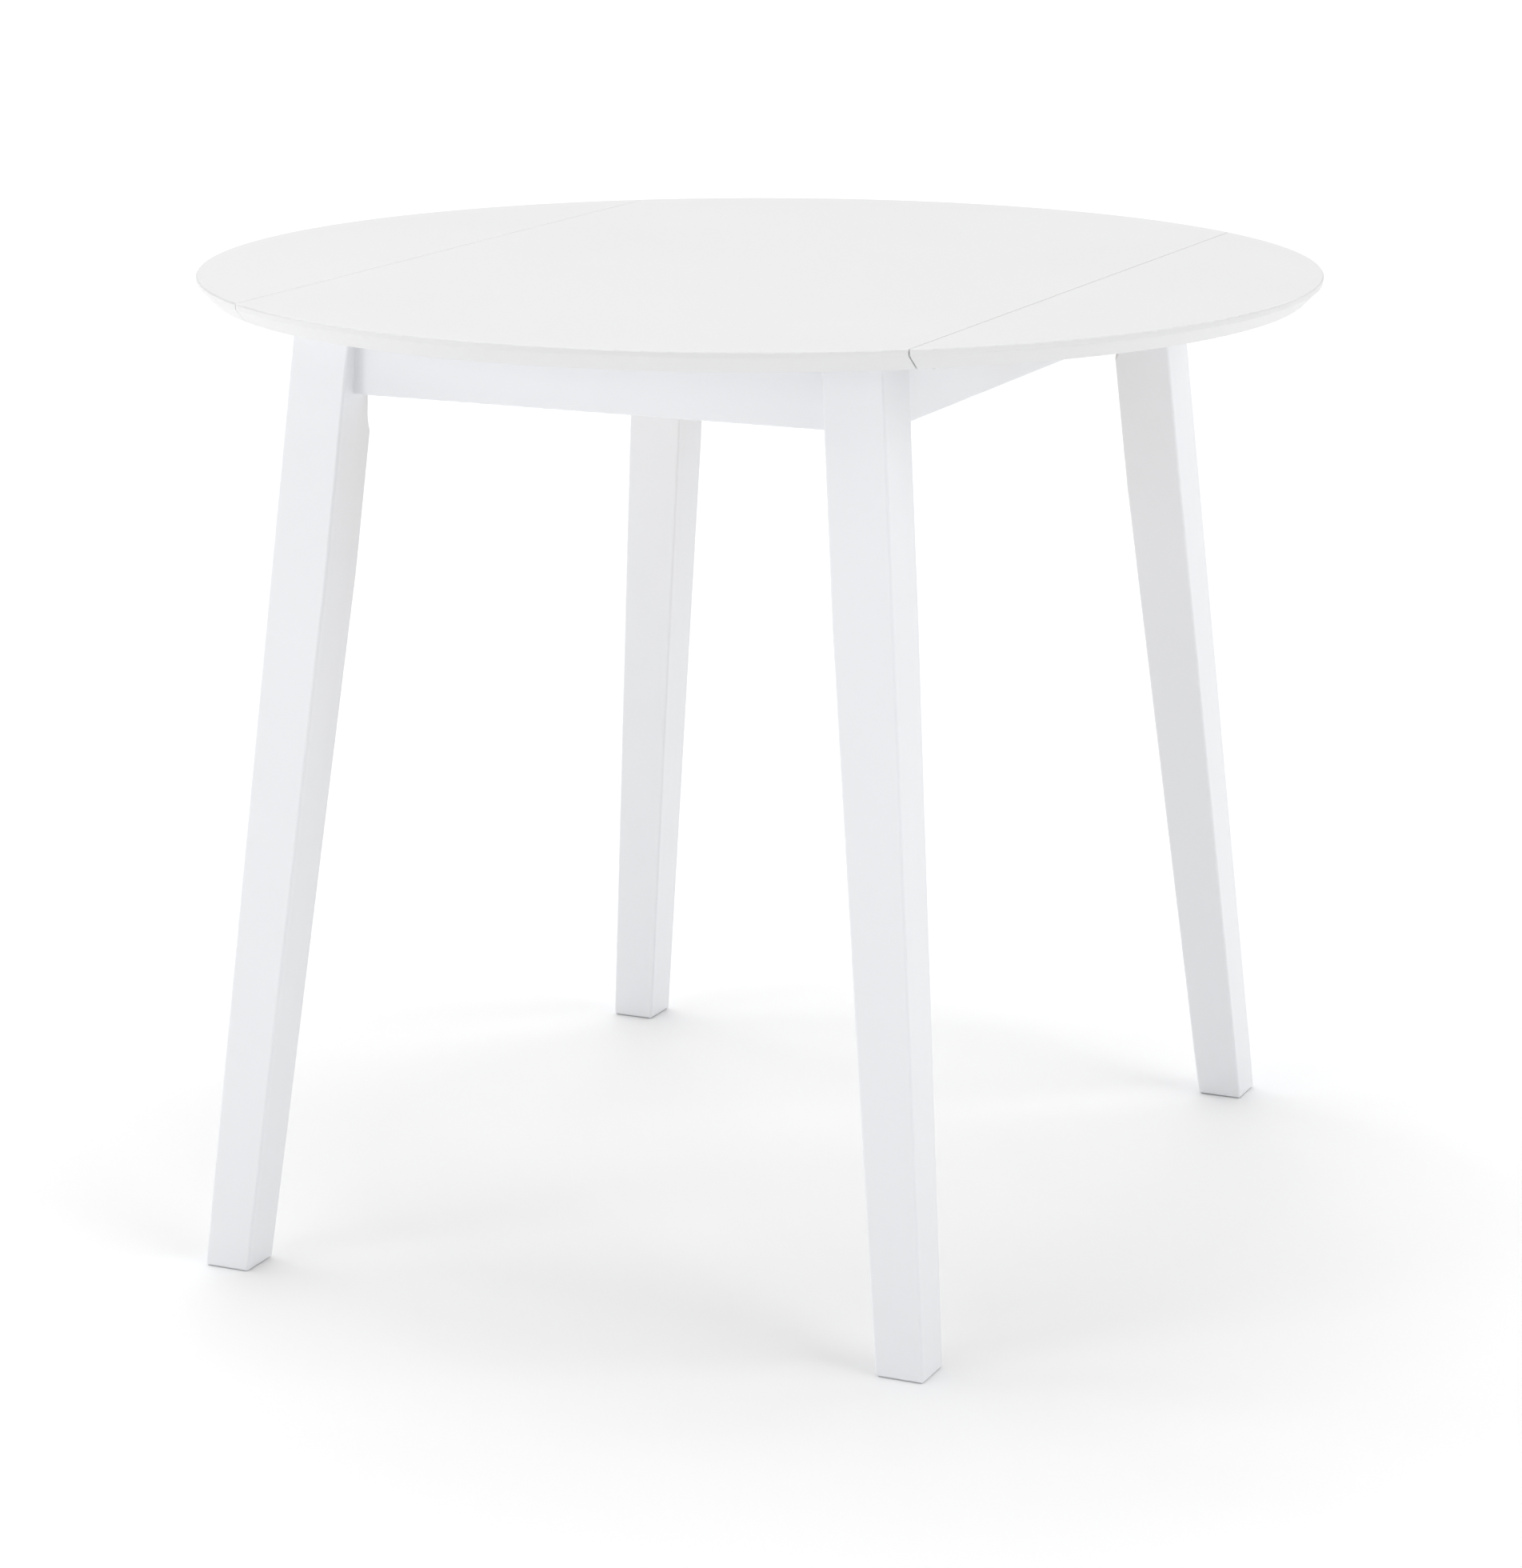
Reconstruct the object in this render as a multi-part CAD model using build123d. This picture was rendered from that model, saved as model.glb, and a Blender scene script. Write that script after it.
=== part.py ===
from build123d import *
import os
from math import sqrt, tan, radians

# Round drop-leaf dining table: a centre panel on an apron frame with four splayed
# legs, a hinged leaf on each side, and two wooden slides that pull out under each leaf.
# Frame: origin on the floor under the middle of the top, +Z up, Y along the two seams
# (front at -Y), X across them (left leaf at -X, right leaf at +X). Millimetres.

# ---- top ----
TOP_DIAMETER = 880.0
TABLE_HEIGHT = 750.0
TOP_THICKNESS = 16.0
UNDERSIDE = TABLE_HEIGHT - TOP_THICKNESS
RIM_BEVEL = 11.5             # the rim is cut back at 45 degrees below a short nose
RIM_ROUND = 1.2              # upper edge of the rim
NOSE_ROUND = 0.8             # where the nose turns into the bevel
SEAM_X = 270.0               # middle of each seam
SEAM_GAP = 0.8
SEAM_ROUND = 0.4             # softened edges along a seam

# ---- legs ----
LEG_WIDTH = 48.0
FOOT_WIDTH = 38.0
LEG_X = 238.0                # outer faces at the underside of the top
LEG_Y = 317.0
SPLAY = 64.0 / UNDERSIDE     # outward lean, per mm of height, in X and in Y
TAPER_START = 542.0          # height where the inner faces start to taper
TAPER_BLEND = 300.0          # radius that eases the start of the taper
LEG_ROUND = 2.0
FOOT_CHAMFER = 1.5
GLIDE_HEIGHT = 3.0
GLIDE_RADIUS = 12.0
GLIDE_EDGE = 0.6             # bevel round the lower edge of a glide
GLIDE_PROUD = 0.4            # the foot stands this high; the rest of the glide is let into it
NAIL_RADIUS = 1.2
NAIL_HEAD_RADIUS = 3.6
NAIL_HEAD_HEIGHT = 0.8
NAIL_LENGTH = 18.0
NAIL_POINT = 2.0

# ---- aprons ----
APRON_HEIGHT = 53.0
APRON_THICKNESS = 20.0
APRON_X = 232.0              # outer face of the side aprons
APRON_Y = 307.0              # outer face of the front and back aprons
APRON_X_IN = APRON_X - APRON_THICKNESS
APRON_Y_IN = APRON_Y - APRON_THICKNESS
APRON_BOTTOM = UNDERSIDE - APRON_HEIGHT
APRON_ROUND = 1.5

# ---- slides that carry the leaves ----
SLIDE_WIDTH = 24.0
SLIDE_HEIGHT = 20.0
SLIDE_Y = 60.0
SLIDE_INNER_END = 15.0
SLIDE_OUTER_END = 252.0
SLIDE_TRAVEL = 108.0
SLIDE_CLEARANCE = 0.3
SLIDE_END_ROUND = 4.0
GRIP_RADIUS = 6.0            # finger groove across the underside of a slide
GRIP_DEPTH = 4.0
GRIP_FROM_END = 14.0
PEG_RADIUS = 4.0
PEG_DROP = 12.0              # how far the stop peg hangs below its slide
PEG_IN_SLIDE = 12.0
PEG_CHAMFER = 0.6
STOP_GAP = 0.5

# ---- cross rails ----
RAIL_HEIGHT = 34.0
RAIL_BOTTOM = UNDERSIDE - RAIL_HEIGHT
CENTRE_RAIL_WIDTH = 28.0
GUIDE_RAIL_WIDTH = 20.0
GUIDE_RAIL_X = 138.0         # inner face of the rail that guides a pair of slides
DOWEL_RADIUS = 4.0
DOWEL_IN_RAIL = 18.0
DOWEL_IN_APRON = 12.0
DOWEL_CHAMFER = 0.8
DOWEL_FROM_EDGE = 9.0        # from the upper and lower faces of a rail
DOWEL_HEIGHTS = (RAIL_BOTTOM + DOWEL_FROM_EDGE, UNDERSIDE - DOWEL_FROM_EDGE)

# ---- hinges ----
HINGE_LENGTH = 50.0
HINGE_PLATE = 20.0           # width of a plate
HINGE_THICKNESS = 1.6
HINGE_CORNER = 3.0           # rounded outer corners of a plate
KNUCKLES = 5
KNUCKLE_GAP = 0.3
BARREL_RADIUS = 2.2
HINGE_DROP = 2.4             # hinge axis below the underside
HINGE_Z = UNDERSIDE - HINGE_DROP
PLATE_SETBACK = 3.0          # plate edge from the axis, clear of the other knuckles
PIN_RADIUS = 1.2
PIN_CLEARANCE = 0.05
PIN_CHAMFER = 0.3
HINGE_Y = {"front": -276.0, "middle": 0.0, "back": 276.0}
HINGE_SCREW_PITCH = 17.0
HINGE_SCREW_FAR = 0.62       # the outer two screws, as a share of the plate's width
HINGE_SCREW_NEAR = 0.38      # the middle screw

# ---- corner plates and their bolts ----
PLATE_THICKNESS = 2.0
PLATE_HEIGHT = 44.0
PLATE_FLANGE = 22.0
PLATE_SUM = 470.0            # x + y on the outer face of the plate's diagonal part
FLAT_SUM = 479.0             # x + y on the flat cut across a leg's inner corner
FLAT_BOTTOM = 664.0
SCOOP_RADIUS = 45.0          # run-out below the flat
BOLT_RADIUS = 4.0
BOLT_IN_LEG = 38.0
BOLT_TAIL = 14.0
BOLT_POINT = 10.0
BOLT_CHAMFER = 0.8
BOLT_SLACK = 0.5             # between the bolt and its hole in the plate
BOLT_Z = 706.0
BOLT_W = (LEG_X - LEG_Y) / sqrt(2)              # across the diagonal
PLATE_U = PLATE_SUM / sqrt(2) - PLATE_THICKNESS  # inner face of the plate, along the diagonal
WASHER_RADIUS = 9.0
WASHER_THICKNESS = 1.6
NUT_RADIUS = 7.5
NUT_HEIGHT = 6.5
NUT_CHAMFER = 0.6

# ---- screws: shank radius, head radius, length ----
PLATE_SCREW = (1.8, 3.6, 16.0)
HINGE_SCREW = (1.6, 3.2, 14.0)
TOP_SCREW = (2.2, 4.4, 40.0)
TOP_SCREW_RECESS = 6.0
TOP_SCREW_SLACK = 0.6        # round a head in its counterbore
TOP_SCREW_Y = (-190.0, 0.0, 190.0)
SCREW_POINT = 3.0            # length of the point, in shank radii
HEAD_RIM = 0.3               # straight rim of a countersunk head
PAN_RISE = 0.6               # height of a pan head, in head radii
PAN_SHOULDER = 0.4           # height of its straight side, as a share of the rise
CROSS_WIDTH = 0.9            # cross recess in a screw's head
CROSS_REACH = 0.6            # half length of the cross, in head radii
CROSS_DEPTH = 0.45           # in head radii

SIDES = {"left": -1, "right": 1}
ENDS = {"front": -1, "back": 1}
DIAGONAL_OUT = (1, 1, 0)     # outward along the diagonal of the back right corner
UPWARD = (Align.CENTER, Align.CENTER, Align.MIN)


# ---------------------------------------------------------------- helpers
def span(x0, x1, y0, y1, z0, z1):
    """A box given by its limits."""
    box = Box(x1 - x0, y1 - y0, z1 - z0)
    return Pos((x0 + x1) / 2, (y0 + y1) / 2, (z0 + z1) / 2) * box


def mirrored(shape, side, end):
    """A shape made for the back right quarter, moved to another quarter."""
    if side < 0:
        shape = mirror(shape, about=Plane.YZ)
    if end < 0:
        shape = mirror(shape, about=Plane.XZ)
    return shape


def along(point, direction):
    """A placement at a point with local +Z in a direction."""
    return Plane(origin=point, z_dir=direction)


def cross_recess(head):
    """The cross cut into a screw's head, centred on the face of the head."""
    bar = Box(2 * CROSS_REACH * head, CROSS_WIDTH, 2 * CROSS_DEPTH * head)
    return bar + Rot(0, 0, 90) * bar


def turned(*points):
    """A solid turned about Z from (radius, height) points."""
    return revolve(make_face(Plane.XZ * Polyline(*points, close=True)), Axis.Z)


def flush_screw(size, recess=True):
    """Countersunk screw along +Z, with the face of its head at z = 0.

    Without its recess it is the shape of the hole that the screw fills.
    """
    shank, head, length = size
    cone_end = HEAD_RIM + head - shank
    point = SCREW_POINT * shank
    body = turned((0, 0), (head, 0), (head, HEAD_RIM), (shank, cone_end),
                  (shank, length - point), (0, length))
    if recess:
        body -= cross_recess(head)
    return body


def pan_screw(size):
    """Pan head screw along +Z, with the underside of its head at z = 0."""
    shank, head, length = size
    rise = PAN_RISE * head
    crown = head - rise * (1 - PAN_SHOULDER)
    point = SCREW_POINT * shank
    body = turned((0, -rise), (crown, -rise), (head, -PAN_SHOULDER * rise), (head, 0),
                  (shank, 0), (shank, length - point), (0, length))
    return body - Pos(0, 0, -rise) * cross_recess(head)


def outer_x(z):
    return LEG_X + SPLAY * (UNDERSIDE - z)


def outer_y(z):
    return LEG_Y + SPLAY * (UNDERSIDE - z)


# ---------------------------------------------------------------- top
def round_top():
    """The whole round top, before it is cut into a panel and two leaves."""
    radius = TOP_DIAMETER / 2
    nose = (radius, 0, UNDERSIDE + RIM_BEVEL)
    crest = (radius, 0, TABLE_HEIGHT)
    outline = Polyline((0, UNDERSIDE), (radius - RIM_BEVEL, UNDERSIDE),
                       (radius, UNDERSIDE + RIM_BEVEL), (radius, TABLE_HEIGHT),
                       (0, TABLE_HEIGHT), close=True)
    profile = make_face(Plane.XZ * outline)
    profile = fillet(profile.vertices().sort_by_distance(crest)[0], RIM_ROUND)
    profile = fillet(profile.vertices().sort_by_distance(nose)[0], NOSE_ROUND)
    return revolve(profile, Axis.Z)


def soften_seams(board):
    """Round the long edges of a board where it meets its neighbour at a seam."""
    seams = [edge for edge in board.edges().filter_by(Axis.Y) if edge.length > HINGE_LENGTH]
    return fillet(seams, SEAM_ROUND)


def centre_panel():
    inner = SEAM_X - SEAM_GAP / 2
    reach = TOP_DIAMETER
    board = round_top() & span(-inner, inner, -reach, reach, 0, 2 * TABLE_HEIGHT)
    return soften_seams(board)


def leaf():
    """The right leaf."""
    edge = SEAM_X + SEAM_GAP / 2
    reach = TOP_DIAMETER
    board = round_top() & span(edge, reach, -reach, reach, 0, 2 * TABLE_HEIGHT)
    return soften_seams(board)


# ---------------------------------------------------------------- legs
def leg_profile(outer, plane):
    """Side view of a leg: straight outer face, inner face tapered to the foot."""
    foot = outer(GLIDE_PROUD)
    bend = (outer(TAPER_START) - LEG_WIDTH, TAPER_START)
    top = outer(UNDERSIDE)
    outline = Polyline((top, UNDERSIDE), (foot, GLIDE_PROUD), (foot - FOOT_WIDTH, GLIDE_PROUD),
                       bend, (top - LEG_WIDTH, UNDERSIDE), close=True)
    profile = make_face(outline)
    profile = fillet(profile.vertices().sort_by_distance(bend)[0], TAPER_BLEND)
    return plane * profile


def diagonal(u, w, z):
    """A point by its distance along and across the corner's diagonal."""
    return ((u + w) / sqrt(2), (u - w) / sqrt(2), z)


def corner_cutter():
    """The flat across the inner corner of a leg, with a round run-out below it."""
    depth = FLAT_SUM / sqrt(2)
    plane = Plane(origin=(0, 0, 0), x_dir=DIAGONAL_OUT, z_dir=(1, -1, 0))
    rise = UNDERSIDE + 1 - FLAT_BOTTOM
    slab = Pos(depth - SCOOP_RADIUS, FLAT_BOTTOM + rise / 2) * Rectangle(2 * SCOOP_RADIUS, rise)
    scoop = Pos(depth - SCOOP_RADIUS, FLAT_BOTTOM) * Circle(SCOOP_RADIUS)
    return extrude(plane * (slab + scoop), amount=2 * LEG_Y, both=True)


def leg():
    """The back right leg."""
    far = 2 * LEG_Y
    front_view = leg_profile(outer_x, Plane.XZ)
    side_view = leg_profile(outer_y, Plane.YZ)
    post = extrude(front_view, amount=far, both=True) & extrude(side_view, amount=far, both=True)
    long_edges = [edge for edge in post.edges() if abs(edge.tangent_at(0.5).Z) > 0.9]
    post = fillet(long_edges, LEG_ROUND)
    foot = post.faces().sort_by(Axis.Z)[0]
    post = chamfer(foot.edges(), FOOT_CHAMFER)
    return post - corner_cutter() - glide_recess()


def foot_centre():
    return (outer_x(GLIDE_PROUD) - FOOT_WIDTH / 2, outer_y(GLIDE_PROUD) - FOOT_WIDTH / 2)


def glide_recess():
    """Round recess that a glide is let into."""
    x, y = foot_centre()
    return Pos(x, y, 0) * Cylinder(GLIDE_RADIUS, GLIDE_HEIGHT, align=UPWARD)


def glide():
    x, y = foot_centre()
    pad = turned((0, 0), (GLIDE_RADIUS - GLIDE_EDGE, 0), (GLIDE_RADIUS, GLIDE_EDGE),
                 (GLIDE_RADIUS, GLIDE_HEIGHT), (0, GLIDE_HEIGHT))
    return Pos(x, y, 0) * pad - glide_nail()


def glide_nail():
    """Nail up through a glide, with its head sunk in the glide."""
    x, y = foot_centre()
    low = GLIDE_HEIGHT / 2
    high = low + NAIL_HEAD_HEIGHT
    nail = turned((0, low), (NAIL_HEAD_RADIUS, low), (NAIL_HEAD_RADIUS, high),
                  (NAIL_RADIUS, high), (NAIL_RADIUS, NAIL_LENGTH), (0, NAIL_LENGTH + NAIL_POINT))
    return Pos(x, y, 0) * nail


# ---------------------------------------------------------------- aprons and rails
def apron_end_on():
    """The back apron; its ends lean with the legs."""
    low = outer_x(APRON_BOTTOM) - LEG_WIDTH
    high = LEG_X - LEG_WIDTH
    outline = Polyline((-low, APRON_BOTTOM), (low, APRON_BOTTOM), (high, UNDERSIDE),
                       (-high, UNDERSIDE), close=True)
    board = Pos(0, APRON_Y, 0) * extrude(make_face(Plane.XZ * outline), amount=APRON_THICKNESS)
    return soften_bottom(board, Axis.X)


def apron_side():
    """The right apron, notched at its top edge for the two slides."""
    low = outer_y(APRON_BOTTOM) - LEG_WIDTH
    high = LEG_Y - LEG_WIDTH
    outline = Polyline((-low, APRON_BOTTOM), (low, APRON_BOTTOM), (high, UNDERSIDE),
                       (-high, UNDERSIDE), close=True)
    board = extrude(make_face(Plane.YZ * outline), amount=APRON_THICKNESS)
    board = soften_bottom(Pos(APRON_X_IN, 0, 0) * board, Axis.Y)
    return board - slide_channel()


def soften_bottom(board, axis):
    """Round the two long lower edges of an apron."""
    low_edges = board.edges().filter_by(axis).group_by(Axis.Z)[0]
    return fillet(low_edges, APRON_ROUND)


def slide_channel():
    """Clear space for both right hand slides, open to the underside of the top."""
    half = SLIDE_WIDTH / 2 + SLIDE_CLEARANCE
    floor = UNDERSIDE - SLIDE_HEIGHT - 2 * SLIDE_CLEARANCE
    channel = span(0, TOP_DIAMETER / 2, SLIDE_Y - half, SLIDE_Y + half, floor, UNDERSIDE + 1)
    return channel + mirror(channel, about=Plane.XZ)


def guide_rail():
    """The right rail, which guides the inner ends of the right hand slides."""
    rail = span(GUIDE_RAIL_X, GUIDE_RAIL_X + GUIDE_RAIL_WIDTH, -APRON_Y_IN, APRON_Y_IN,
                RAIL_BOTTOM, UNDERSIDE)
    return rail - slide_channel()


def centre_rail():
    half = CENTRE_RAIL_WIDTH / 2
    return span(-half, half, -APRON_Y_IN, APRON_Y_IN, RAIL_BOTTOM, UNDERSIDE)


def rail_centres():
    guide = GUIDE_RAIL_X + GUIDE_RAIL_WIDTH / 2
    return (-guide, 0.0, guide)


def rail_dowels():
    """Two dowels in each end of each rail."""
    length = DOWEL_IN_RAIL + DOWEL_IN_APRON
    middle = APRON_Y_IN + (DOWEL_IN_APRON - DOWEL_IN_RAIL) / 2
    pin = Rot(90, 0, 0) * chamfer(Cylinder(DOWEL_RADIUS, length).edges(), DOWEL_CHAMFER)
    places = [(x, end * middle, z) for x in rail_centres() for end in (-1, 1) for z in DOWEL_HEIGHTS]
    return [Pos(*place) * pin for place in places]


def top_screws(recess=True):
    """Screws up through each rail into the centre panel."""
    screw = flush_screw(TOP_SCREW, recess)
    places = [(x, y, RAIL_BOTTOM + TOP_SCREW_RECESS) for x in rail_centres() for y in TOP_SCREW_Y]
    return [Pos(*place) * screw for place in places]


def top_screw_wells():
    """Counterbores below the heads of the top screws."""
    well = Cylinder(TOP_SCREW[1] + TOP_SCREW_SLACK, TOP_SCREW_RECESS)
    z = RAIL_BOTTOM + TOP_SCREW_RECESS / 2
    return [Pos(x, y, z) * well for x in rail_centres() for y in TOP_SCREW_Y]


# ---------------------------------------------------------------- slides
def slide():
    """The back right slide, pushed in."""
    top = UNDERSIDE - SLIDE_CLEARANCE
    bottom = top - SLIDE_HEIGHT
    half = SLIDE_WIDTH / 2
    bar = span(SLIDE_INNER_END, SLIDE_OUTER_END, SLIDE_Y - half, SLIDE_Y + half, bottom, top)
    outer_corners = bar.edges().filter_by(Axis.Z).group_by(Axis.X)[-1]
    bar = fillet(outer_corners, SLIDE_END_ROUND)
    groove = Rot(90, 0, 0) * Cylinder(GRIP_RADIUS, 2 * SLIDE_WIDTH)
    groove_z = bottom + GRIP_DEPTH - GRIP_RADIUS
    bar -= Pos(SLIDE_OUTER_END - GRIP_FROM_END, SLIDE_Y, groove_z) * groove
    return bar - stop_peg()


def stop_peg():
    """Peg that meets the guide rail when its slide is fully out."""
    x = GUIDE_RAIL_X - STOP_GAP - PEG_RADIUS - SLIDE_TRAVEL
    slide_bottom = UNDERSIDE - SLIDE_CLEARANCE - SLIDE_HEIGHT
    low = slide_bottom - PEG_DROP
    high = slide_bottom + PEG_IN_SLIDE
    peg = chamfer(Cylinder(PEG_RADIUS, high - low).edges(), PEG_CHAMFER)
    return Pos(x, SLIDE_Y, (low + high) / 2) * peg


# ---------------------------------------------------------------- hinges
def knuckle_places(odd):
    """Middle of each knuckle of one plate, from the middle of the hinge."""
    pitch = HINGE_LENGTH / KNUCKLES
    first = -(KNUCKLES - 1) / 2
    return [(first + i) * pitch for i in range(KNUCKLES) if i % 2 == odd]


def hinge_plate(y, fixed):
    """One plate of a right hand hinge: fixed under the panel, or moving under the leaf."""
    away = -1 if fixed else 1
    length = HINGE_LENGTH / KNUCKLES - KNUCKLE_GAP
    near = SEAM_X + away * PLATE_SETBACK
    far = near + away * HINGE_PLATE
    low = UNDERSIDE - HINGE_THICKNESS
    half = HINGE_LENGTH / 2
    plate = span(min(near, far), max(near, far), y - half, y + half, low, UNDERSIDE)
    outer_corners = plate.edges().filter_by(Axis.Z).sort_by(Axis.X)
    outer_corners = outer_corners[:2] if fixed else outer_corners[-2:]
    plate = fillet(outer_corners, HINGE_CORNER)
    for offset in knuckle_places(0 if fixed else 1):
        middle = y + offset
        plate += Pos(SEAM_X, middle, HINGE_Z) * Rot(90, 0, 0) * Cylinder(BARREL_RADIUS, length)
        plate += span(min(SEAM_X, near), max(SEAM_X, near), middle - length / 2,
                      middle + length / 2, low, UNDERSIDE)
    bore = PIN_RADIUS if fixed else PIN_RADIUS + PIN_CLEARANCE
    plate -= Pos(SEAM_X, y, HINGE_Z) * Rot(90, 0, 0) * Cylinder(bore, 2 * HINGE_LENGTH)
    return plate


def hinge_pin(y):
    pin = chamfer(Cylinder(PIN_RADIUS, HINGE_LENGTH).edges(), PIN_CHAMFER)
    return Pos(SEAM_X, y, HINGE_Z) * Rot(90, 0, 0) * pin


def hinge_screws(y, fixed, recess=True):
    """Three screws, staggered, up through one plate of a right hand hinge."""
    away = -1 if fixed else 1
    screw = flush_screw(HINGE_SCREW, recess)
    low = UNDERSIDE - HINGE_THICKNESS
    screws = []
    for row, reach in ((-1, HINGE_SCREW_FAR), (0, HINGE_SCREW_NEAR), (1, HINGE_SCREW_FAR)):
        x = SEAM_X + away * (PLATE_SETBACK + reach * HINGE_PLATE)
        screws.append(Pos(x, y + row * HINGE_SCREW_PITCH, low) * screw)
    return screws


# ---------------------------------------------------------------- corner plates
def corner_plate():
    """Bent steel plate across the back right corner, screwed to both aprons."""
    turn = PLATE_THICKNESS * tan(radians(22.5))
    near_x = PLATE_SUM - APRON_Y_IN
    near_y = PLATE_SUM - APRON_X_IN
    x_in = APRON_X_IN - PLATE_THICKNESS
    y_in = APRON_Y_IN - PLATE_THICKNESS
    outline = Polyline((near_x - PLATE_FLANGE, APRON_Y_IN), (near_x, APRON_Y_IN),
                       (APRON_X_IN, near_y), (APRON_X_IN, near_y - PLATE_FLANGE),
                       (x_in, near_y - PLATE_FLANGE), (x_in, near_y - turn),
                       (near_x - turn, y_in), (near_x - PLATE_FLANGE, y_in), close=True)
    return Pos(0, 0, BOLT_Z - PLATE_HEIGHT / 2) * extrude(make_face(outline), amount=PLATE_HEIGHT)


def corner_plate_screws():
    """Two screws through each flange of the back right corner plate."""
    screw = pan_screw(PLATE_SCREW)
    flange = PLATE_FLANGE / 2
    x = PLATE_SUM - APRON_Y_IN - flange
    y = PLATE_SUM - APRON_X_IN - flange
    screws = []
    for z in (BOLT_Z - PLATE_HEIGHT / 4, BOLT_Z + PLATE_HEIGHT / 4):
        screws.append(along((x, APRON_Y_IN - PLATE_THICKNESS, z), (0, 1, 0)) * screw)
        screws.append(along((APRON_X_IN - PLATE_THICKNESS, y, z), (1, 0, 0)) * screw)
    return screws


def hanger_bolt():
    """Double ended bolt: wood thread in the leg, machine thread through the plate."""
    inner = PLATE_U - BOLT_TAIL
    outer = FLAT_SUM / sqrt(2) + BOLT_IN_LEG
    length = outer - inner
    bolt = turned((0, 0), (BOLT_RADIUS - BOLT_CHAMFER, 0), (BOLT_RADIUS, BOLT_CHAMFER),
                  (BOLT_RADIUS, length - BOLT_POINT), (0, length))
    return along(diagonal(inner, BOLT_W, BOLT_Z), DIAGONAL_OUT) * bolt


def bolt_hole():
    """Clearance hole for a hanger bolt through its corner plate."""
    start = diagonal(PLATE_U - PLATE_THICKNESS, BOLT_W, BOLT_Z)
    drill = Cylinder(BOLT_RADIUS + BOLT_SLACK, 3 * PLATE_THICKNESS, align=UPWARD)
    return along(start, DIAGONAL_OUT) * drill


def washer():
    ring = Cylinder(WASHER_RADIUS, WASHER_THICKNESS) - Cylinder(BOLT_RADIUS, WASHER_THICKNESS)
    middle = PLATE_U - WASHER_THICKNESS / 2
    return along(diagonal(middle, BOLT_W, BOLT_Z), DIAGONAL_OUT) * ring


def nut():
    hexagon = extrude(RegularPolygon(NUT_RADIUS, 6), amount=NUT_HEIGHT)
    blank = chamfer(hexagon.edges().group_by(Axis.Z)[0], NUT_CHAMFER)
    ring = blank - Cylinder(BOLT_RADIUS, 4 * NUT_HEIGHT)
    start = PLATE_U - WASHER_THICKNESS - NUT_HEIGHT
    return along(diagonal(start, BOLT_W, BOLT_Z), DIAGONAL_OUT) * ring


# ---------------------------------------------------------------- assembly
def four_corners(shapes):
    """Copies of some back right shapes in all four corners."""
    corners = [(side, end) for side in SIDES.values() for end in ENDS.values()]
    return [mirrored(shape, side, end) for side, end in corners for shape in shapes]


def without(shape, tools):
    for tool in tools:
        shape = shape - tool
    return shape


def all_hinge_screws(fixed, recess=True):
    """The screws of the three right hand hinges, for one of their two plates."""
    return [screw for y in HINGE_Y.values() for screw in hinge_screws(y, fixed, recess)]


def build():
    """All nodes by name; a list is a group of identical separate pieces."""
    nodes = {}
    dowels = rail_dowels()
    rail_cuts = dowels + top_screws(recess=False) + top_screw_wells()
    plate_screws = four_corners(corner_plate_screws())
    panel_holes = all_hinge_screws(True, recess=False)
    panel_holes += [mirrored(hole, -1, 1) for hole in panel_holes]
    bolt = hanger_bolt()

    nodes["centre_panel"] = without(centre_panel(), top_screws(recess=False) + panel_holes)
    nodes["centre_rail"] = without(centre_rail(), rail_cuts)
    for name, side in SIDES.items():
        board = without(leaf(), all_hinge_screws(False, recess=False))
        nodes["leaf_" + name] = mirrored(board, side, 1)
        screws = all_hinge_screws(False)
        nodes["leaf_hinge_screws_" + name] = [mirrored(screw, side, 1) for screw in screws]
        nodes["apron_" + name] = without(mirrored(apron_side(), side, 1), plate_screws)
        nodes["guide_rail_" + name] = without(mirrored(guide_rail(), side, 1), rail_cuts)
        for place, y in HINGE_Y.items():
            fixed = without(hinge_plate(y, True), hinge_screws(y, True, recess=False))
            moving = without(hinge_plate(y, False), hinge_screws(y, False, recess=False))
            nodes["hinge_panel_plate_%s_%s" % (name, place)] = mirrored(fixed, side, 1)
            nodes["hinge_leaf_plate_%s_%s" % (name, place)] = mirrored(moving, side, 1)
            nodes["hinge_pin_%s_%s" % (name, place)] = mirrored(hinge_pin(y), side, 1)
    for name, end in ENDS.items():
        nodes["apron_" + name] = without(mirrored(apron_end_on(), 1, end), plate_screws + dowels)

    one_leg = leg() - bolt - glide_nail()
    one_plate = without(corner_plate() - bolt_hole(), corner_plate_screws())
    for side_name, side in SIDES.items():
        for end_name, end in ENDS.items():
            corner = "%s_%s" % (end_name, side_name)
            nodes["leg_" + corner] = mirrored(one_leg, side, end)
            nodes["glide_" + corner] = mirrored(glide(), side, end)
            nodes["corner_plate_" + corner] = mirrored(one_plate, side, end)
            nodes["slide_" + corner] = mirrored(slide(), side, end)
            nodes["stop_peg_" + corner] = mirrored(stop_peg(), side, end)

    nodes["glide_nails"] = four_corners([glide_nail()])
    nodes["hanger_bolts"] = four_corners([bolt])
    nodes["bolt_washers"] = four_corners([washer()])
    nodes["bolt_nuts"] = four_corners([nut()])
    nodes["corner_plate_screws"] = plate_screws
    nodes["rail_dowels"] = dowels
    nodes["top_screws"] = top_screws()
    right_screws = all_hinge_screws(True)
    nodes["panel_hinge_screws"] = right_screws + [mirrored(s, -1, 1) for s in right_screws]
    return nodes


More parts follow.
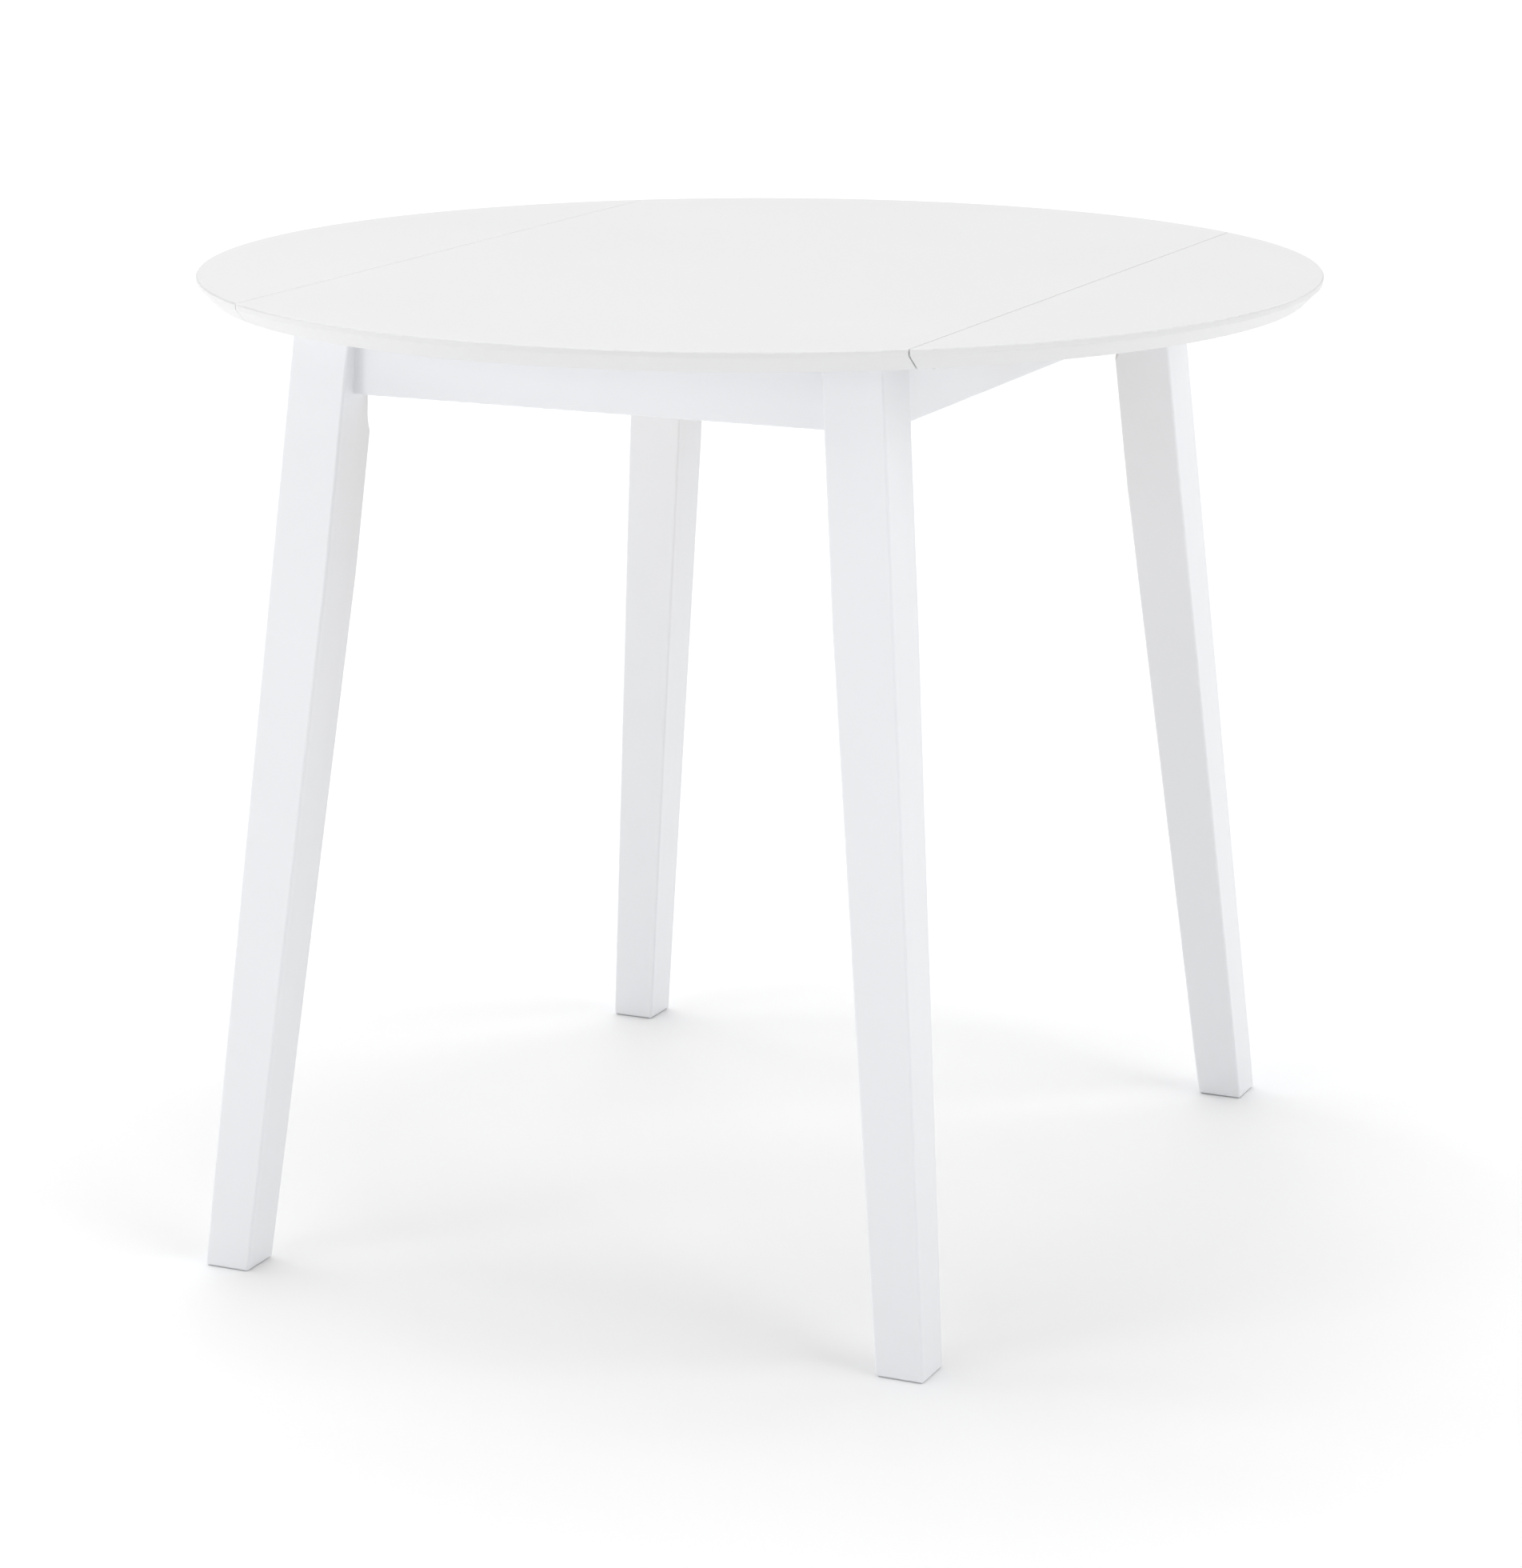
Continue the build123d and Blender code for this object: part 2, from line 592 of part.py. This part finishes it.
def main():
    os.makedirs("parts", exist_ok=True)
    for name, shape in build().items():
        if isinstance(shape, list):
            shape = Compound(children=[solid for piece in shape for solid in piece.solids()])
        export_step(shape, "parts/%s.step" % name)


main()
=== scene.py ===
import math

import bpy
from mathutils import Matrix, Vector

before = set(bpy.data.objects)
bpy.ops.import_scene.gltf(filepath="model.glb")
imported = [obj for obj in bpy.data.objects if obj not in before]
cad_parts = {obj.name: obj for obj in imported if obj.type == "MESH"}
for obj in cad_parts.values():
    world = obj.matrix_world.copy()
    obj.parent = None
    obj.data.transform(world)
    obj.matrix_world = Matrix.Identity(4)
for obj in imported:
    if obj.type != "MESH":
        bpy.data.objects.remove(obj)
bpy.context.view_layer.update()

# A white round drop-leaf dining table in a high-key studio. Metres, in the CAD frame:
# +Z up, seams along Y, front at -Y, right leaf at +X.

# ---- camera ----
CAMERA_AZIMUTH = 24.27       # degrees round from the front, towards +X
CAMERA_PITCH = 14.29         # degrees down
CAMERA_DISTANCE = 3.658
CAMERA_TARGET = Vector((0.001, 0.0, 0.3300))
CAMERA_LENS = 103.9          # mm
CAMERA_SENSOR = 36.0         # mm, along the picture's long side
CAMERA_CLIP = 200.0

# ---- world and floor ----
WORLD_LIGHT = 0.08           # how much the white world lights the table
WORLD_GLOSS = 0.35           # how bright it is in reflections
WORLD_SEEN = 1.0             # and how bright to the camera
FLOOR_HALF = 40.0
FLOOR_ROUGHNESS = 0.9
# Painted shadow on the floor: a darker pool of colour under the table, centred here.
SHADOW_POOL_CENTRE = (0.03, 0.06, 0.0)
SHADOW_POOL_RADIUS = 0.38           # the painted shadow is at its darkest this near to the pool's centre
SHADOW_POOL_REACH = 0.67            # and the floor is at its lightest, with no painted shadow, from here on
SHADOW_POOL_COLOUR = (0.873, 0.879, 0.886)
FLOOR_COLOUR = (0.975, 0.976, 0.978)

# ---- lamps ----
LAMP_DISTANCE = 3.0
# Broad soft lamps, far enough away to light the floor evenly. Each has its bearing round the
# table from the front towards +X, its height and its width, in degrees, and its strength in
# watts per square metre.
SOFT_LAMPS = {
    "overhead": (0.0, 90.0, 100.0, 1.24),
    "left": (-90.0, 35.0, 50.0, 0.52),
    "left_low": (-80.0, 7.0, 20.0, 0.36),
    "front_left": (-25.0, 35.0, 50.0, 0.38),
    "front_left_low": (-35.0, 7.0, 20.0, 0.56),
    "right": (90.0, 35.0, 50.0, 0.96),
    "right_low": (80.0, 7.0, 20.0, 0.24),
    "back": (180.0, 45.0, 60.0, 0.62),
    "back_left": (-135.0, 42.0, 56.0, 0.72),
}

# ---- colours ----
TOP_WHITE = (0.790, 0.790, 0.790)        # the lacquered board of the top
FRAME_WHITE = (0.860, 0.870, 0.892)      # the painted wood of the legs and aprons, a shade cooler
CLOUDING = 0.985                         # how far the white drops in its faint clouds
PINE = ((0.50, 0.31, 0.15), (0.68, 0.48, 0.28))              # dark, light
BEECH = ((0.44, 0.26, 0.13), (0.60, 0.39, 0.22))
HINGE_GREY = ((0.56, 0.56, 0.57), (0.68, 0.68, 0.69))
PLATE_GREY = ((0.50, 0.51, 0.53), (0.63, 0.64, 0.66))
SCREW_GREY = ((0.55, 0.55, 0.55), (0.66, 0.66, 0.66))
GLIDE_GREY = ((0.030, 0.030, 0.031), (0.045, 0.045, 0.046))

# ---- surfaces: texture scales, larger is finer; bump depths in metres ----
CLOUD_SCALE = 5.0
PEEL_SCALE = 420.0           # orange peel in the lacquer
PEEL_DEPTH = 0.00008
TRACE_SCALE = 520.0          # wood grain that shows through the lacquer
TRACE_DEPTH = 0.00012
LACQUER_ROUGHNESS = (0.33, 0.42)
COAT_WEIGHT = 0.12
COAT_ROUGHNESS = 0.22
FIGURE_SCALE = 14.0          # broad figure of raw wood
FIGURE_SHARE = 0.55          # its part in the colour, beside the fine grain lines
PINE_GRAIN, BEECH_GRAIN, DOWEL_GRAIN = 120.0, 160.0, 300.0
GRAIN_DEPTH = 0.0003
WOOD_ROUGHNESS = (0.62, 0.5)
SPANGLE_SCALE = 180.0        # crystal pattern of the zinc
ROLLING_SCALE = 900.0        # fine marks along the rolled sheet
ROLLING_DEPTH = 0.00004
HINGE_ROUGHNESS = (0.28, 0.42)
PLATE_ROUGHNESS = (0.35, 0.5)
SCREW_ROUGHNESS = (0.25, 0.35)
MOULD_SCALE = 900.0          # fine texture of the moulded plastic
MOULD_DEPTH = 0.00006
MOULD_ROUGHNESS = (0.5, 0.62)
NOISE_LOW, NOISE_HIGH = 0.3, 0.7         # most of a noise texture lies between these
MIDDLE_LOW, MIDDLE_HIGH = 0.35, 0.65     # a tighter range, for more contrast
WOOD_STOPS = (0.32, 0.5, 0.66)           # where the wood is dark, middling and light

# Stretches that draw a noise texture out along one direction.
EVEN = (1.0, 1.0, 1.0)
ALONG_X = (0.06, 1.0, 1.0)
ALONG_Y = (1.0, 0.06, 1.0)
ALONG_Z = (1.0, 1.0, 0.06)
ROLLED = (1.0, 0.08, 1.0)


# ---------------------------------------------------------------- node helpers
class Nodes:
    """A material's node tree, with short calls to add and join nodes."""

    def __init__(self, name):
        self.material = bpy.data.materials.new(name)
        self.material.use_nodes = True
        self.tree = self.material.node_tree
        self.shader = self.tree.nodes["Principled BSDF"]

    def add(self, kind, **settings):
        """A new node. Each setting is a property of the node or the value of an input."""
        node = self.tree.nodes.new("ShaderNode" + kind)
        for key, value in settings.items():
            if hasattr(node, key):
                setattr(node, key, value)
            else:
                node.inputs[key.title()].default_value = value
        return node

    def join(self, output, socket):
        self.tree.links.new(output, socket)

    def place(self, stretch=EVEN):
        """Object coordinates, scaled. One unit is one metre at stretch 1."""
        where = self.add("TexCoord")
        mapping = self.add("Mapping", scale=stretch)
        self.join(where.outputs["Object"], mapping.inputs["Vector"])
        return mapping.outputs["Vector"]

    def noise(self, vector, scale, detail=3.0, roughness=0.5, distortion=0.0):
        node = self.add("TexNoise", scale=scale, detail=detail, roughness=roughness,
                        distortion=distortion)
        self.join(vector, node.inputs["Vector"])
        return node.outputs["Fac"]

    def ramp(self, factor, *stops):
        """A colour ramp from (position, colour) stops."""
        node = self.add("ValToRGB")
        elements = node.color_ramp.elements
        while len(elements) < len(stops):
            elements.new(0.5)
        for element, (position, colour) in zip(elements, stops):
            element.position = position
            element.color = (*colour, 1.0)
        self.join(factor, node.inputs["Fac"])
        return node.outputs["Color"]

    def spread(self, factor, low, high):
        """Map a noise value to a range."""
        node = self.add("MapRange")
        node.inputs["From Min"].default_value = NOISE_LOW
        node.inputs["From Max"].default_value = NOISE_HIGH
        node.inputs["To Min"].default_value = low
        node.inputs["To Max"].default_value = high
        self.join(factor, node.inputs["Value"])
        return node.outputs["Result"]

    def bump(self, height, distance, strength, under=None):
        """Bump of a height in metres, over an earlier bump if there is one."""
        node = self.add("Bump", strength=strength, distance=distance)
        self.join(height, node.inputs["Height"])
        if under is not None:
            self.join(under, node.inputs["Normal"])
        return node.outputs["Normal"]

    def finish(self, colour, roughness=None, normal=None, **fixed):
        """Join what varies over the surface, and set the rest on the shader itself."""
        for name, source in (("Base Color", colour), ("Roughness", roughness), ("Normal", normal)):
            if source is not None:
                self.join(source, self.shader.inputs[name])
        for name, value in fixed.items():
            self.shader.inputs[name.replace("_", " ").title()].default_value = value
        return self.material


# ---------------------------------------------------------------- materials
def lacquer(name, white, grain):
    """White satin lacquer: faint clouding, orange peel, and a trace of the wood's grain."""
    n = Nodes(name)
    shade = tuple(CLOUDING * part for part in white)
    cloud = n.noise(n.place(), CLOUD_SCALE, detail=2.0)
    peel = n.noise(n.place(), PEEL_SCALE, detail=2.0, roughness=0.45)
    trace = n.noise(n.place(grain), TRACE_SCALE, detail=3.0, roughness=0.6)
    colour = n.ramp(cloud, (NOISE_LOW, shade), (NOISE_HIGH, white))
    roughness = n.spread(peel, *LACQUER_ROUGHNESS)
    normal = n.bump(trace, TRACE_DEPTH, strength=0.35)
    normal = n.bump(peel, PEEL_DEPTH, strength=0.35, under=normal)
    return n.finish(colour, roughness, normal, Coat_Weight=COAT_WEIGHT, Coat_Roughness=COAT_ROUGHNESS)


def raw_wood(name, colours, grain, grain_scale):
    """Planed, unpainted wood: broad figure and fine grain lines."""
    n = Nodes(name)
    vector = n.place(grain)
    figure = n.noise(vector, FIGURE_SCALE, detail=3.0, roughness=0.55, distortion=0.6)
    lines = n.noise(vector, grain_scale, detail=5.0, roughness=0.65)
    both = n.add("Mix", data_type="FLOAT")
    both.inputs["Factor"].default_value = 1.0 - FIGURE_SHARE
    n.join(figure, both.inputs["A"])
    n.join(lines, both.inputs["B"])
    dark, light = colours
    middle = tuple((a + b) / 2 for a, b in zip(dark, light))
    colour = n.ramp(both.outputs["Result"], *zip(WOOD_STOPS, (dark, middle, light)))
    roughness = n.spread(lines, *WOOD_ROUGHNESS)
    normal = n.bump(lines, GRAIN_DEPTH, strength=0.5)
    return n.finish(colour, roughness, normal)


def plated_steel(name, greys, roughness_range):
    """Zinc plated steel: soft spangle and fine rolling marks."""
    n = Nodes(name)
    dark, light = greys
    spangle = n.noise(n.place(), SPANGLE_SCALE, detail=3.0, distortion=0.8)
    marks = n.noise(n.place(ROLLED), ROLLING_SCALE, detail=2.0)
    colour = n.ramp(spangle, (MIDDLE_LOW, dark), (MIDDLE_HIGH, light))
    roughness = n.spread(marks, *roughness_range)
    normal = n.bump(marks, ROLLING_DEPTH, strength=0.4)
    return n.finish(colour, roughness, normal, Metallic=1.0)


def moulded_plastic(name, greys):
    """Dark plastic with a fine moulded texture."""
    n = Nodes(name)
    dark, light = greys
    texture = n.noise(n.place(), MOULD_SCALE, detail=2.0)
    colour = n.ramp(texture, (MIDDLE_LOW, dark), (MIDDLE_HIGH, light))
    roughness = n.spread(texture, *MOULD_ROUGHNESS)
    normal = n.bump(texture, MOULD_DEPTH, strength=0.5)
    return n.finish(colour, roughness, normal)


def make_materials():
    return {
        "top": lacquer("white_lacquer_top", TOP_WHITE, EVEN),
        "leg": lacquer("white_lacquer_leg", FRAME_WHITE, ALONG_Z),
        "apron_x": lacquer("white_lacquer_apron_x", FRAME_WHITE, ALONG_X),
        "apron_y": lacquer("white_lacquer_apron_y", FRAME_WHITE, ALONG_Y),
        "rail": raw_wood("pine_rail", PINE, ALONG_Y, PINE_GRAIN),
        "slide": raw_wood("beech_slide", BEECH, ALONG_X, BEECH_GRAIN),
        "dowel": raw_wood("beech_dowel", BEECH, ALONG_Z, DOWEL_GRAIN),
        "hinge": plated_steel("hinge_steel", HINGE_GREY, HINGE_ROUGHNESS),
        "plate": plated_steel("plate_steel", PLATE_GREY, PLATE_ROUGHNESS),
        "screw": plated_steel("screw_steel", SCREW_GREY, SCREW_ROUGHNESS),
        "glide": moulded_plastic("glide_plastic", GLIDE_GREY),
    }


# The first entry that a node's name starts with gives its material; any other node is a fastener.
MATERIAL_OF_NAME = (
    ("centre_panel", "top"),
    ("leaf_left", "top"),
    ("leaf_right", "top"),
    ("leg_", "leg"),
    ("apron_front", "apron_x"),
    ("apron_back", "apron_x"),
    ("apron_", "apron_y"),
    ("guide_rail", "rail"),
    ("centre_rail", "rail"),
    ("slide_", "slide"),
    ("stop_peg", "dowel"),
    ("rail_dowels", "dowel"),
    ("glide_nails", "screw"),
    ("glide_", "glide"),
    ("hinge_", "hinge"),
    ("corner_plate_screws", "screw"),
    ("corner_plate_", "plate"),
)


def material_for(node):
    for start, name in MATERIAL_OF_NAME:
        if node.startswith(start):
            return name
    return "screw"


def dress_nodes():
    materials = make_materials()
    for name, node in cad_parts.items():
        node.data.materials.clear()
        node.data.materials.append(materials[material_for(name)])


# ---------------------------------------------------------------- stage
def floor_material():
    """Pale matt floor, with a painted shadow: a slightly darker pool of colour under the table."""
    n = Nodes("studio_floor")
    shadow_distance = n.add("VectorMath", operation="DISTANCE")
    n.join(n.place(), shadow_distance.inputs[0])
    shadow_distance.inputs[1].default_value = SHADOW_POOL_CENTRE
    # Painted shadow: the floor's colour darkens towards the pool's centre.
    colour = n.ramp(shadow_distance.outputs["Value"], (SHADOW_POOL_RADIUS, SHADOW_POOL_COLOUR), (SHADOW_POOL_REACH, FLOOR_COLOUR))
    n.shader.inputs["Specular IOR Level"].default_value = 0.0
    return n.finish(colour, Roughness=FLOOR_ROUGHNESS)


def make_floor():
    half = FLOOR_HALF
    mesh = bpy.data.meshes.new("studio_floor")
    mesh.from_pydata([(-half, -half, 0), (half, -half, 0), (half, half, 0), (-half, half, 0)],
                     [], [(0, 1, 2, 3)])
    floor = bpy.data.objects.new("studio_floor", mesh)
    bpy.context.collection.objects.link(floor)
    mesh.materials.append(floor_material())


def make_world():
    """White all round, seen and reflected, but dim as a light: the lamps do that."""
    world = bpy.data.worlds.new("studio_white")
    bpy.context.scene.world = world
    world.use_nodes = True
    tree = world.node_tree
    background = tree.nodes["Background"]
    background.inputs["Color"].default_value = (1.0, 1.0, 1.0, 1.0)
    path = tree.nodes.new("ShaderNodeLightPath")
    reflected = tree.nodes.new("ShaderNodeMath")
    seen = tree.nodes.new("ShaderNodeMath")
    for node, ray, strength in ((reflected, "Is Glossy Ray", WORLD_GLOSS),
                                (seen, "Is Camera Ray", WORLD_SEEN)):
        node.operation = "MULTIPLY_ADD"
        node.inputs[1].default_value = strength - WORLD_LIGHT
        tree.links.new(path.outputs[ray], node.inputs[0])
    reflected.inputs[2].default_value = WORLD_LIGHT
    tree.links.new(reflected.outputs["Value"], seen.inputs[2])
    tree.links.new(seen.outputs["Value"], background.inputs["Strength"])


def bearing(azimuth, elevation):
    """Direction from the table, given in degrees; azimuth runs from the front towards +X."""
    turn = math.radians(azimuth)
    rise = math.radians(elevation)
    return Vector((math.sin(turn) * math.cos(rise), -math.cos(turn) * math.cos(rise),
                   math.sin(rise)))


def put(name, data, where, outward):
    """Add a lamp or camera that looks against the outward direction."""
    thing = bpy.data.objects.new(name, data)
    thing.location = where
    thing.rotation_mode = "QUATERNION"
    thing.rotation_quaternion = (-outward).to_track_quat("-Z", "Y")
    bpy.context.collection.objects.link(thing)
    return thing


def make_lights():
    for name, (azimuth, elevation, width, strength) in SOFT_LAMPS.items():
        data = bpy.data.lights.new(name, "SUN")
        data.angle = math.radians(width)
        data.energy = strength
        outward = bearing(azimuth, elevation)
        put(name, data, LAMP_DISTANCE * outward, outward)


def make_camera():
    data = bpy.data.cameras.new("camera")
    data.lens = CAMERA_LENS
    data.sensor_width = CAMERA_SENSOR
    data.dof.use_dof = False
    data.clip_end = CAMERA_CLIP
    back = bearing(CAMERA_AZIMUTH, CAMERA_PITCH)
    bpy.context.scene.camera = put("camera", data, CAMERA_TARGET + CAMERA_DISTANCE * back, back)


bpy.context.scene.view_settings.view_transform = "Standard"
make_camera()
make_world()
make_floor()
make_lights()
dress_nodes()
